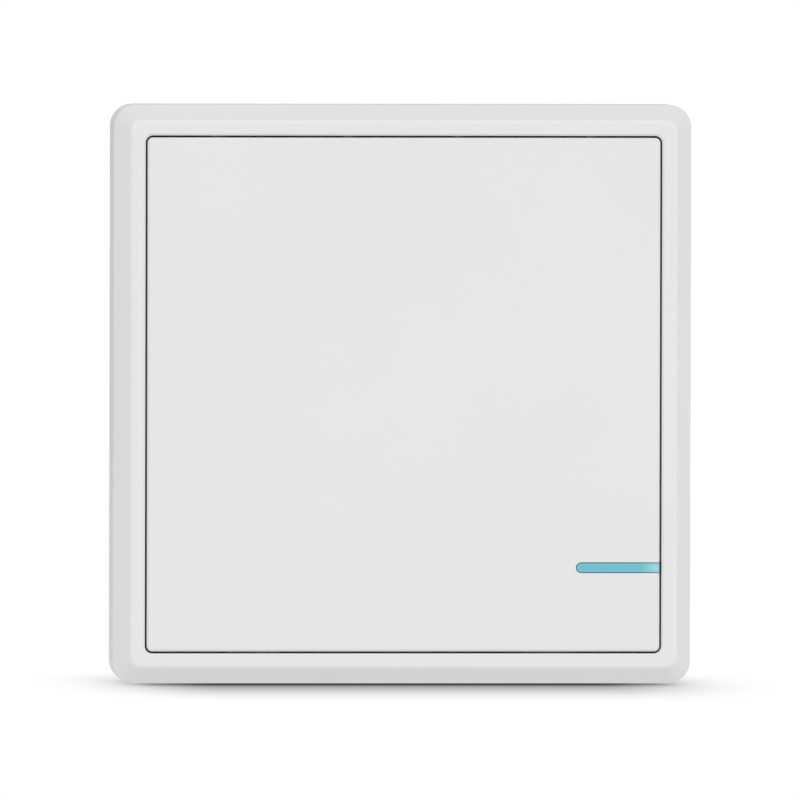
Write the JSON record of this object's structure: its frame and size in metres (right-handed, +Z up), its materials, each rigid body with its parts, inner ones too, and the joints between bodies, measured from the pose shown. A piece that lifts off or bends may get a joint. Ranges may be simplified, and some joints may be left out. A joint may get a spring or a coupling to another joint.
{
  "type": "wireless rocker wall switch",
  "caption": "Square white surface-mounted wall switch: a large flat rocker in a bevelled frame, with a blue strip, driving a small generator that powers a radio.",
  "frame": {"origin": "centre of the back of the housing, on the wall plane", "axes": "+Y into the wall, +Z up, +X to the right as seen from the room; the rocker faces -Y"},
  "size_m": [0.086, 0.013, 0.086],
  "materials": {
    "white_plastic": "satin",
    "housing_plastic": "satin",
    "blue_strip": "gloss",
    "dark_plastic": "satin",
    "natural_plastic": "satin",
    "soft_iron": "brushed",
    "magnet_plating": "polished",
    "copper": "satin",
    "spring_steel": "polished",
    "plated_steel": "satin",
    "board_laminate": "satin",
    "chip_mould": "matte",
    "can_aluminium": "satin",
    "silicone": "matte",
    "chip_ceramic": "satin"
  },
  "bodies": {
    "housing": {"rear_housing": "housing_plastic", "front_frame": "white_plastic", "stop_pads": "silicone", "generator_tray": "dark_plastic", "generator_cover": "dark_plastic", "tray_screws": "plated_steel", "magnet": "magnet_plating", "front_pole_plate": "soft_iron", "rear_pole_plate": "soft_iron", "coil_bobbin": "natural_plastic", "coil_winding": "copper", "coil_pins": "plated_steel", "lever_pin": "plated_steel", "return_springs": "spring_steel", "circuit_board": "board_laminate", "board_screws": "plated_steel", "radio_chip": "chip_mould", "rectifier_bridge": "chip_mould", "voltage_regulator": "chip_mould", "storage_capacitor": "can_aluminium", "crystal_can": "can_aluminium", "chip_components": "chip_ceramic", "antenna_coil": "copper"},
    "rocker": {"rocker": "white_plastic", "indicator_strip": "blue_strip"},
    "lever": {"press_lever": "natural_plastic"},
    "armature": {"armature": "soft_iron", "armature_carrier": "natural_plastic", "leaf_spring": "spring_steel"}
  },
  "joints": [
    {"name": "rocker_hinge", "type": "hinge", "parent": "housing", "child": "rocker", "pos_m": [0, -0.0082, 0.03395], "axis": [1, 0, 0], "range_deg": [0, 2], "stiffness_Nm_per_rad": 0.6, "springref_deg": -8.59},
    {"name": "lever_pivot", "type": "hinge", "parent": "housing", "child": "lever", "pos_m": [0, -0.0056, 0.0002], "axis": [1, 0, 0], "range_deg": [0, 4.05], "deforming": ["return_springs"]},
    {"name": "armature_pivot", "type": "hinge", "parent": "housing", "child": "armature", "pos_m": [0, -0.0056, -0.0183], "axis": [1, 0, 0], "range_deg": [0, 2.92], "deforming": ["leaf_spring"]}
  ],
  "couplings": [
    {"joint": "lever_pivot", "follows": "rocker_hinge", "ratio": 2.0166},
    {"joint": "armature_pivot", "follows": "rocker_hinge", "ratio": 1.45}
  ]
}
